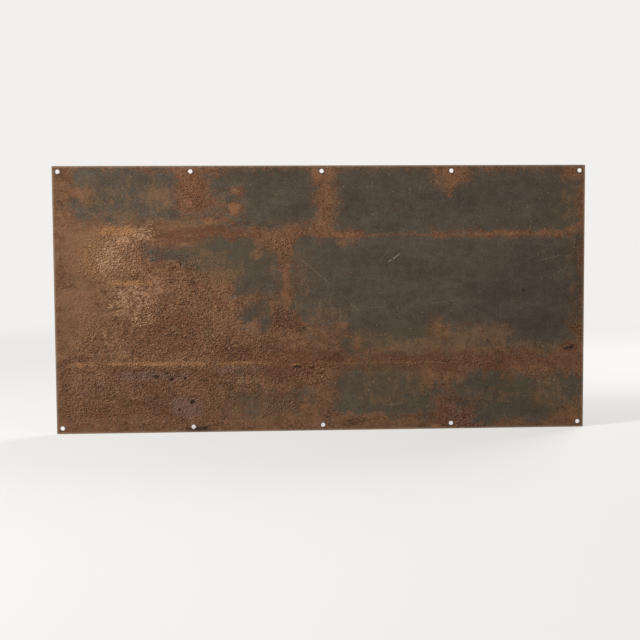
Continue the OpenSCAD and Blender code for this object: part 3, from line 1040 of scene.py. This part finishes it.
# The rim's pale colour is partly wear and partly a painted highlight where the sheet's edge catches
# light.
RIM_WEAR_AND_HIGHLIGHT_TONE = "#97826f"
RIM_WEAR_AND_HIGHLIGHT = 0.7


def shaded(tree, colour):
    """Paints shade into a colour in the hollows and where the marks named shade lie, and paints it pale
    along the rim, as wear and as a highlight.
    """
    for name, dimming in (("hollow", HOLLOW_PAINTED_SHADE), ("shade", PAINTED_SHADE)):
        strength = add(tree, "ShaderNodeAttribute", out="Fac", attribute_name=name)
        dim = add(tree, "ShaderNodeMapRange", {0: strength, **dimming})
        sockets = {0: 1.0, 6: colour, 7: dim}
        colour = add(tree, "ShaderNodeMix", sockets, 2, data_type="RGBA", blend_type="MULTIPLY")
    # The rim is painted pale, as wear and as a highlight on the edge.
    rim = add(tree, "ShaderNodeAttribute", out="Fac", attribute_name="rim")
    worn = add(tree, "ShaderNodeMath", {0: rim, 1: RIM_WEAR_AND_HIGHLIGHT}, operation="MULTIPLY")
    return add(tree, "ShaderNodeMix", {0: worn, 6: colour, 7: linear(RIM_WEAR_AND_HIGHLIGHT_TONE)}, 2, data_type="RGBA")


print("painted_hollow_shade leaves a hollow", HOLLOW_PAINTED_SHADE[4], "of its colour, and shade leaves", PAINTED_SHADE[4])

# %% Finishes of the rear
# Real grit is under a millimetre, which wouldn't show, so it is drawn at 2.8 mm.
GRIT_MM = 2.8
GRIT_DETAIL = 2.0
FINE_BUMP_SHARE = 0.3
GLASS_BUMP_MM = 0.05
# Roughness of glass and of rust, specular level, and height of the bump in mm.
REAR_FINISHES = {
    "weathered ground coat enamel": (0.45, 0.90, 0.15, 1.2),
    "rust scale": (0.55, 0.92, 0.12, 1.15),
}
rear = {}
for name, (glass_rough, rust_rough, shine, bump_mm) in REAR_FINISHES.items():
    rear[name], tree = new_finish(name)
    colour, whole, coarse = rear_colours(tree)
    colour = shaded(tree, colour)
    rough = add(tree, "ShaderNodeMix", {0: whole, 2: rust_rough, 3: glass_rough})
    place = add(tree, "ShaderNodeTexCoord", out="Object")
    place = add(tree, "ShaderNodeMapping", {"Vector": place, "Scale": LUMP_SQUEEZE})
    grit = add(tree, "ShaderNodeTexNoise", {
        "Vector": place, "Scale": 1 / (GRIT_MM * MM), "Detail": GRIT_DETAIL,
    })
    height = {0: coarse, 3: FINE_BUMP_SHARE * bump_mm * MM, 4: bump_mm * MM}
    high = add(tree, "ShaderNodeMapRange", height)
    high = add(tree, "ShaderNodeMix", {0: whole, 2: high, 3: GLASS_BUMP_MM * MM})
    bump = add(tree, "ShaderNodeBump", {"Height": grit, "Distance": high, "Strength": 1.0})
    surface = add(tree, "ShaderNodeBsdfPrincipled", {
        "Base Color": colour, "Roughness": rough, "Specular IOR Level": shine, "Normal": bump,
    })
    add(tree, "ShaderNodeOutputMaterial", {"Surface": surface})
    print(name, len(tree.nodes), "nodes")

# %% [markdown]
# ## Lay the finishes on the rear
# The relief tree runs on both skins. Glass has only a slight, long wave. Scale is pitted by up
# to 0.38 mm, and thinner at its edge, where it grows up to the coat and ends level with it. So
# its edge level is worked out from the heights of the two, as a share of that depth.

# %% Lay the finishes on the rear
SCALE_DEPTH_MM = 0.38
FLUSH = (coat_low - scale_low - BLISTER_ROOM) / MM / SCALE_DEPTH_MM
grow(coat_skin, relief, rear["weathered ground coat enamel"],
     lump_mm=12.0, pit_mm=9.0, depth_mm=0.05, edge_level=0.0)
grow(scale_skin, relief, rear["rust scale"],
     lump_mm=3.4, pit_mm=4.4, depth_mm=SCALE_DEPTH_MM, edge_level=FLUSH)
for piece, node, slot in (
    (coat_skin, "rear_ground_coat", "rear_enamel"),
    (scale_skin, "rear_rust_scale", "rust"),
):
    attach(piece, "root")
    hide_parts(node)
print("the scale's edge lies at", round(FLUSH, 3), "of its depth")

# %% [markdown]
# ## Rust blisters
# Where rust is thick it comes up in blisters, a few millimetres across. There are thousands, and
# they follow the surface, so Geometry Nodes scatter them: a point for each, kept a little apart,
# denser where the mark named coarse is strong. Every one is a squashed icosahedron of twenty
# faces, which is enough under smooth shading. Points carry the marks of the skin below them, so
# a blister takes the colour of its place.

# %% Where blisters grow
# Name of the mark, and where blisters start and are densest on it.
BLISTERED = (("coarse", 0.35, 0.85), ("heart", 0.0, 1.0), ("front", 0.0, 1.0), ("inland", 0.0, 1.0))
BLISTER_SEED = 5
SQUARE_CM_IN_A_SQUARE_M = 1e4
sizes = ["apart mm", "per square cm", "height mm", "least mm", "most mm"]
blisters, given = new_tree("blisters", sizes)
wanted = 1.0
for name, low, high in BLISTERED:
    marked = add(blisters, "GeometryNodeInputNamedAttribute", {"Name": name}, data_type="FLOAT")
    enough = add(blisters, "ShaderNodeMapRange", {0: marked, 1: low, 2: high})
    wanted = add(blisters, "ShaderNodeMath", {0: wanted, 1: enough}, operation="MULTIPLY")
apart = add(blisters, "ShaderNodeMath", {0: given["apart mm"], 1: MM}, operation="MULTIPLY")
density = add(blisters, "ShaderNodeMath", {
    0: given["per square cm"], 1: SQUARE_CM_IN_A_SQUARE_M,
}, operation="MULTIPLY")
points = add(blisters, "GeometryNodeDistributePointsOnFaces", {
    "Mesh": given["Geometry"], "Distance Min": apart, "Density Max": density,
    "Density Factor": wanted, "Seed": BLISTER_SEED,
}, distribute_method="POISSON")
print("blisters follow", len(BLISTERED), "marks")

# %% Shape of a blister
# A ball of 1 mm radius is scaled: wide and long by chance, and high as far as there is room
# under the model's own face. FULL_TURN is in radians.
FULL_TURN = 6.28
ball = add(blisters, "GeometryNodeMeshIcoSphere", {"Radius": MM, "Subdivisions": 1})
ball = add(blisters, "GeometryNodeSetShadeSmooth", {"Geometry": ball})
wide, long = [
    add(blisters, "FunctionNodeRandomValue", {2: given["least mm"], 3: given["most mm"], "Seed": seed}, 1)
    for seed in (1, 2)
]
position = add(blisters, "GeometryNodeInputPosition")
split = add(blisters, "ShaderNodeSeparateXYZ", {0: position}).node.outputs
room = add(blisters, "ShaderNodeMath", {0: split[1], 1: scale_low}, operation="SUBTRACT")
room = add(blisters, "ShaderNodeMath", {0: room, 1: MM}, operation="DIVIDE")
high = add(blisters, "ShaderNodeMath", {0: room, 1: given["height mm"]}, operation="MINIMUM")
size = add(blisters, "ShaderNodeCombineXYZ", {0: wide, 1: high, 2: long})
turn = add(blisters, "FunctionNodeRandomValue", {2: 0.0, 3: FULL_TURN, "Seed": 3}, 1)
turned = add(blisters, "ShaderNodeCombineXYZ", {"Y": turn})
copies = add(blisters, "GeometryNodeInstanceOnPoints", {
    "Points": points, "Instance": ball, "Scale": size, "Rotation": turned,
})
close_tree(blisters, copies, given["Material"])
print("blisters", len(blisters.nodes), "nodes")

# %% Blisters
blister_piece = bpy.data.objects.new("rust_blisters", scale_skin.data.copy())
bpy.context.scene.collection.objects.link(blister_piece)
grow(blister_piece, blisters, rear["rust scale"],
     apart_mm=1.9, per_square_cm=20.0, height_mm=0.2, least_mm=0.7, most_mm=2.2)
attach(blister_piece, "root")

# %% [markdown]
# ## The steel
# Mild steel, rolled, sheared and punched, shows at the lips round the holes, on the edges and in
# the chips at the front. All of it has rusted. It keeps the mesh of the CAD model, which is
# already exact, and its finish needs no marks: noise mixes brown, dark and bare metal, and only
# the top of a lip, where a screw or a wall rubs it, is brighter.

# %% Rusted mild steel
# The grain of its rust is drawn at 1.2 mm, coarser than the real one, so that it shows.
STEEL_TONES = [(0.34, "#33251d"), (0.46, "#54392a"), (0.54, "#6f4a33"), (0.66, "#8a6040")]
BARE = "#8c8781"
STEEL_PATCH_MM = 3.5
STEEL_PATCH_DETAIL = 5.0
STEEL_GRAIN_MM = 1.2
STEEL_GRAIN_DETAIL = 2.0
LIP_TOP = {1: -0.30 * MM, 2: -0.40 * MM}
RUBBED = {1: 0.48, 2: 0.62, 4: 0.7}
RUSTY_ROUGH = 0.9
BARE_ROUGH = 0.4
STEEL_BUMP_MM = 0.25
steel, tree = new_finish("rusted mild steel")
place = add(tree, "ShaderNodeTexCoord", out="Object")
patches = add(tree, "ShaderNodeTexNoise", {
    "Vector": place, "Scale": 1 / (STEEL_PATCH_MM * MM), "Detail": STEEL_PATCH_DETAIL,
})
colour = add(tree, "ShaderNodeValToRGB", {"Fac": patches})
paint(colour, STEEL_TONES)
split = add(tree, "ShaderNodeSeparateXYZ", {0: place}).node.outputs
lip = add(tree, "ShaderNodeMapRange", {0: split[1], **LIP_TOP})
fine = add(tree, "ShaderNodeTexNoise", {
    "Vector": place, "Scale": 1 / (STEEL_GRAIN_MM * MM), "Detail": STEEL_GRAIN_DETAIL,
})
rubbed = add(tree, "ShaderNodeMapRange", {0: fine, **RUBBED})
bare = add(tree, "ShaderNodeMath", {0: rubbed, 1: lip}, operation="MULTIPLY")
colour = add(tree, "ShaderNodeMix", {0: bare, 6: colour, 7: linear(BARE)}, 2, data_type="RGBA")
rough = add(tree, "ShaderNodeMix", {0: bare, 2: RUSTY_ROUGH, 3: BARE_ROUGH})
bump = add(tree, "ShaderNodeBump", {"Height": fine, "Distance": STEEL_BUMP_MM * MM})
surface = add(tree, "ShaderNodeBsdfPrincipled", {
    "Base Color": colour, "Roughness": rough, "Metallic": bare, "Normal": bump,
})
add(tree, "ShaderNodeOutputMaterial", {"Surface": surface})
steel_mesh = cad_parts["steel_sheet"].data
for k in range(len(steel_mesh.materials)):
    steel_mesh.materials[k] = steel
print("steel has", len(steel_mesh.materials), "slot")

# %% [markdown]
# ## Skins of the front
# The front has three coats over one another, each a little smaller round a chip than the one
# below. Glass that has melted draws back from its own edge and ends in a soft round shoulder,
# and its face keeps a slight wave. A plain slab would have neither. The relief tree makes both:
# the wave is a long, very shallow lump, and the edge level lets the last millimetre sink. Rust
# from the holes and the chips has run down, so each skin also gets the marks of that.

# %% Rust that runs down
# Step in mm along the chips, and how far from the sheet's edge a chip's outline counts.
CHIP_STEP = 2.0
CHIP_INSIDE = 0.5
DRIP_LONG = (25, 110)
DRIP_HALF_WIDE = (1.6, 4.2)
DRIP_ASIDE = 3
DRIP_SWAY = 1.6
DRIP_SWAY_LONG = 19
DRIP_START = 4
DRIP_CORE = 0.2
DRIP_STRENGTH = (0.6, 1.0)
ground_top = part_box("front_ground_coat")[1].y
ground_rings = [divided(ring, CHIP_STEP) for ring in outlines_of("front_ground_coat", ground_top)]
chip_edge = np.concatenate(ground_rings)
chip_edge = chip_edge[from_edge(*chip_edge.T) > CHIP_INSIDE]


def drips(x, z, seed):
    """Streaks of rust that run down from the holes and the chips."""
    chance = np.random.default_rng(seed)
    cover = np.zeros(len(x))
    sources = [*HOLES, *(ring.mean(0) for ring in ground_rings if np.ptp(ring[:, 0]) < HALF_H)]
    for a, b in sources:
        reach = chance.uniform(*DRIP_LONG)
        half = chance.uniform(*DRIP_HALF_WIDE)
        aside = chance.uniform(-DRIP_ASIDE, DRIP_ASIDE)
        sway = x - a - aside + DRIP_SWAY * noise(x, z, DRIP_SWAY_LONG, seed)
        below = b - z
        streak = smooth(half, DRIP_CORE * half, np.abs(sway))
        streak *= smooth(0, DRIP_START, below) * smooth(reach, DRIP_CORE * reach, below)
        cover = np.maximum(cover, chance.uniform(*DRIP_STRENGTH) * streak)
    return cover


print(len(chip_edge), "points along the chips")

# %% Front skins
# Pitch in mm, finer where more of a coat is seen, and where the back of the skin lies in mm.
FRONT = {
    "front_ground_coat": (6.0, 1.6),
    "front_white_coat": (4.0, 1.75),
    "front_blue_border": (2.6, 1.95),
    "front_blue_field": (2.6, 1.95),
}
FRONT_SEED = 40
DRIP_SEED = 71
SHOULDER = 1.3
STAIN = 7.0
front_skins = {}
for number, (node, (pitch, back)) in enumerate(FRONT.items()):
    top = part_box(node)[1].y
    piece, rings = skin(node, top, back * MM, pitch, FRONT_SEED + number, chips=chip_edge)
    x, z = across_and_up(piece.data)
    places = np.column_stack([x, z])
    write(piece.data, "coarse", np.ones(len(x)))
    write(piece.data, "heart", smooth(0.0, SHOULDER, nearest(places, np.concatenate(rings))))
    write(piece.data, "stain", smooth(STAIN, 0.0, nearest(places, chip_edge)))
    write(piece.data, "drip", drips(x, z, DRIP_SEED))
    front_skins[node] = piece

# %% [markdown]
# ## Finishes of the front
# Vitreous enamel is powdered glass, fired until it melts: deep, clean colour under a hard shine.
# Decades outdoors leave fine scuffs, pinholes and a film of dirt, and rust seeps out of
# every chip and runs down. The coats differ only in colour and in how much they have dulled, so
# one function makes them all.

# %% Dirt and stains on enamel
STAIN_TONE = "#6b4128"
FILM_TONE = "#8a8378"
FILM_NOISE = {"Scale": 1 / (24 * MM), "Detail": 6.0, "Roughness": 0.7}
FILM_COVER = {1: 0.48, 2: 0.80, 4: 0.16}
SEEP_NOISE = {"Scale": 1 / (4 * MM), "Detail": 5.0}
SEEP_SWING = 1.6
SEEP_FULL = 0.2
# Name of the mark, where its stain starts and is full, and its strongest cover.
STAINS = (("stain", 0.25, 0.95, 0.85), ("drip", 0.05, 0.60, 0.8))
STAINED_ROUGH = 0.75


def dirtied(tree, place, colour):
    """Lays a thin film of dirt over a colour."""
    film = add(tree, "ShaderNodeTexNoise", {"Vector": place, **FILM_NOISE})
    dirty = add(tree, "ShaderNodeMapRange", {0: film, **FILM_COVER})
    return add(tree, "ShaderNodeMix", {0: dirty, 6: colour, 7: linear(FILM_TONE)}, 2, data_type="RGBA")


def stained(tree, place, colour, dull):
    """Rust beside the chips and below them, over a colour and a roughness."""
    seep = add(tree, "ShaderNodeTexNoise", {"Vector": place, **SEEP_NOISE})
    around = add(tree, "ShaderNodeMath", {0: seep, 1: MIDDLE}, operation="SUBTRACT")
    for name, low, high, most in STAINS:
        strength = add(tree, "ShaderNodeAttribute", out="Fac", attribute_name=name)
        there = add(tree, "ShaderNodeMapRange", {0: strength, 2: SEEP_FULL})
        ragged = add(tree, "ShaderNodeMath", {0: around, 1: there}, operation="MULTIPLY")
        swung = {0: ragged, 1: SEEP_SWING, 2: strength}
        strength = add(tree, "ShaderNodeMath", swung, operation="MULTIPLY_ADD")
        cover = add(tree, "ShaderNodeMapRange", {0: strength, 1: low, 2: high, 4: most})
        sockets = {0: cover, 6: colour, 7: linear(STAIN_TONE)}
        colour = add(tree, "ShaderNodeMix", sockets, 2, data_type="RGBA")
        dull = add(tree, "ShaderNodeMix", {0: cover, 2: dull, 3: STAINED_ROUGH})
    return colour, dull


print("dirt covers up to", FILM_COVER[4], "and stains up to", max(row[-1] for row in STAINS))

# %% Pinholes in enamel
# Real pinholes are under a millimetre across, which wouldn't show. So these are drawn larger, and
# they fade outwards. A size is a share of the distance between two.
PINHOLE_APART_MM = 22.0
PINHOLE_SIZE = 0.11
PINHOLE_SHARE = 0.6
PINHOLE_COVER = 0.9


def pinholed(tree, place, colour):
    """Rusty pinholes, where a bubble burst in the kiln."""
    sockets = {"Vector": place, "Scale": 1 / (PINHOLE_APART_MM * MM)}
    dots = add(tree, "ShaderNodeTexVoronoi", sockets, "Distance").node.outputs
    lot = add(tree, "ShaderNodeSeparateColor", {0: dots["Color"]})
    reach = add(tree, "ShaderNodeMapRange", {0: lot, 1: PINHOLE_SHARE, 3: 0.0, 4: PINHOLE_SIZE})
    hole = {0: dots["Distance"], 1: reach, 2: 0.0, 4: PINHOLE_COVER}
    hole = add(tree, "ShaderNodeMapRange", hole)
    return add(tree, "ShaderNodeMix", {0: hole, 6: colour, 7: linear(STAIN_TONE)}, 2, data_type="RGBA")


print("pinholes measure up to", round(2 * PINHOLE_SIZE * PINHOLE_APART_MM, 1), "mm")

# %% Vitreous enamels
# Name, slot, deep and light colour, and roughness.
ENAMELS = {
    "front_ground_coat": ("fired ground coat enamel", "ground_enamel", "#23262b", "#30343a", 0.30),
    "front_white_coat": ("white vitreous enamel", "white_enamel", "#e2dccb", "#efeadd", 0.10),
    "front_blue_border": ("blue vitreous enamel", "blue_enamel", "#0f3066", "#194381", 0.08),
}
TONE_NOISE = {"Scale": 1 / (60 * MM), "Detail": 4.0}
# Scuffs are drawn over a millimetre broad, coarser than real ones, so that they show.
SCUFF_MAPPING = {"Scale": (1.0, 1.0, 9.0), "Rotation": (0, 0.5, 0)}
SCUFF_NOISE = {"Scale": 1 / (12 * MM), "Detail": 6.0, "Roughness": 0.8}
SCUFF_ROUGHENS = {1: 0.52, 2: 0.70, 4: 0.25}
WAVE_MM = 6.0
WAVE_DETAIL = 1.0
WAVE_HIGH_MM = 0.04
ENAMEL_SPECULAR = 0.45


def enamel(name, deep, light, dull):
    """A fired, glossy coat with scuffs, dirt, and rust from the chips."""
    finish, tree = new_finish(name)
    place = add(tree, "ShaderNodeTexCoord", out="Object")
    clouds = add(tree, "ShaderNodeTexNoise", {"Vector": place, **TONE_NOISE})
    tones = {0: clouds, 6: linear(deep), 7: linear(light)}
    colour = add(tree, "ShaderNodeMix", tones, 2, data_type="RGBA")
    colour = dirtied(tree, place, colour)
    colour, dull = stained(tree, place, colour, dull)
    colour = pinholed(tree, place, colour)
    scuffs = add(tree, "ShaderNodeMapping", {"Vector": place, **SCUFF_MAPPING})
    scuffs = add(tree, "ShaderNodeTexNoise", {"Vector": scuffs, **SCUFF_NOISE})
    worn = add(tree, "ShaderNodeMapRange", {0: scuffs, **SCUFF_ROUGHENS})
    rough = add(tree, "ShaderNodeMath", {0: dull, 1: worn}, operation="ADD")
    wave = add(tree, "ShaderNodeTexNoise", {
        "Vector": place, "Scale": 1 / (WAVE_MM * MM), "Detail": WAVE_DETAIL,
    })
    bump = add(tree, "ShaderNodeBump", {"Height": wave, "Distance": WAVE_HIGH_MM * MM})
    glass = add(tree, "ShaderNodeBsdfPrincipled", {
        "Base Color": colour, "Roughness": rough, "Normal": bump, "Specular IOR Level": ENAMEL_SPECULAR,
    })
    add(tree, "ShaderNodeOutputMaterial", {"Surface": glass})
    print(name, len(tree.nodes), "nodes")
    return finish


finishes = {
    node: enamel(name, deep, light, dull)
    for node, (name, _, deep, light, dull) in ENAMELS.items()
}

# %% Lay the finishes on the front
# These faces look to +Y, so the depth that sinks them is below 0.
for node, piece in front_skins.items():
    kind = "front_blue_border" if node == "front_blue_field" else node
    grow(piece, relief, finishes[kind], lump_mm=16.0, pit_mm=60.0, depth_mm=-0.05, edge_level=1.0)
    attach(piece, "root")
    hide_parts(node)

# %% [markdown]
# ## A flat map for every skin
# Other programs show the finishes as pictures wrapped on the mesh. An automatic unwrap would cut
# the ragged coats into many scraps. A coat is flat, so its map can be a plain view of it: the
# face takes most of the picture, the hidden back takes a strip under it, and a wall gets a hair
# of width beside its own edge.

# %% Flat maps
FACE_SHARE = 0.80
GUTTER = 0.02
WALL_MM = 0.35
EDGE_ON = 0.1


def flat_map(piece, face_side):
    """Writes the bake map of a thin piece that faces -Y or +Y."""
    mesh = piece.data
    corners = np.empty(len(mesh.loops), int)
    mesh.loops.foreach_get("vertex_index", corners)
    co = np.empty(3 * len(mesh.vertices))
    mesh.vertices.foreach_get("co", co)
    co = co.reshape(-1, 3)[corners] / MM
    totals = np.empty(len(mesh.polygons), int)
    mesh.polygons.foreach_get("loop_total", totals)
    normals = np.empty(3 * len(mesh.polygons))
    mesh.polygons.foreach_get("normal", normals)
    normals = np.repeat(normals.reshape(-1, 3), totals, axis=0)
    toward = normals[:, 1] * face_side
    middle = (co[:, 1].min() + co[:, 1].max()) / 2
    wall = np.abs(toward) < EDGE_ON
    far = wall & ((co[:, 1] - middle) * face_side < 0)
    x = co[:, 0] + far * normals[:, 0] * WALL_MM
    z = co[:, 2] + far * normals[:, 2] * WALL_MM
    u = GUTTER + (1 - 2 * GUTTER) * (x + HALF_W) / (2 * HALF_W)
    v = (z + HALF_H) / (2 * HALF_H)
    low = np.where(toward < -EDGE_ON, GUTTER, 1 - FACE_SHARE)
    high = np.where(toward < -EDGE_ON, 1 - FACE_SHARE - GUTTER, 1 - GUTTER)
    layer = mesh.uv_layers.new(name="OFBake")
    layer.uv.foreach_set("vector", np.column_stack([u, low + v * (high - low)]).ravel())
    print(piece.name, "mapped,", len(mesh.polygons), "faces")


for piece in (coat_skin, scale_skin, blister_piece):
    flat_map(piece, -1)
for piece in front_skins.values():
    flat_map(piece, 1)
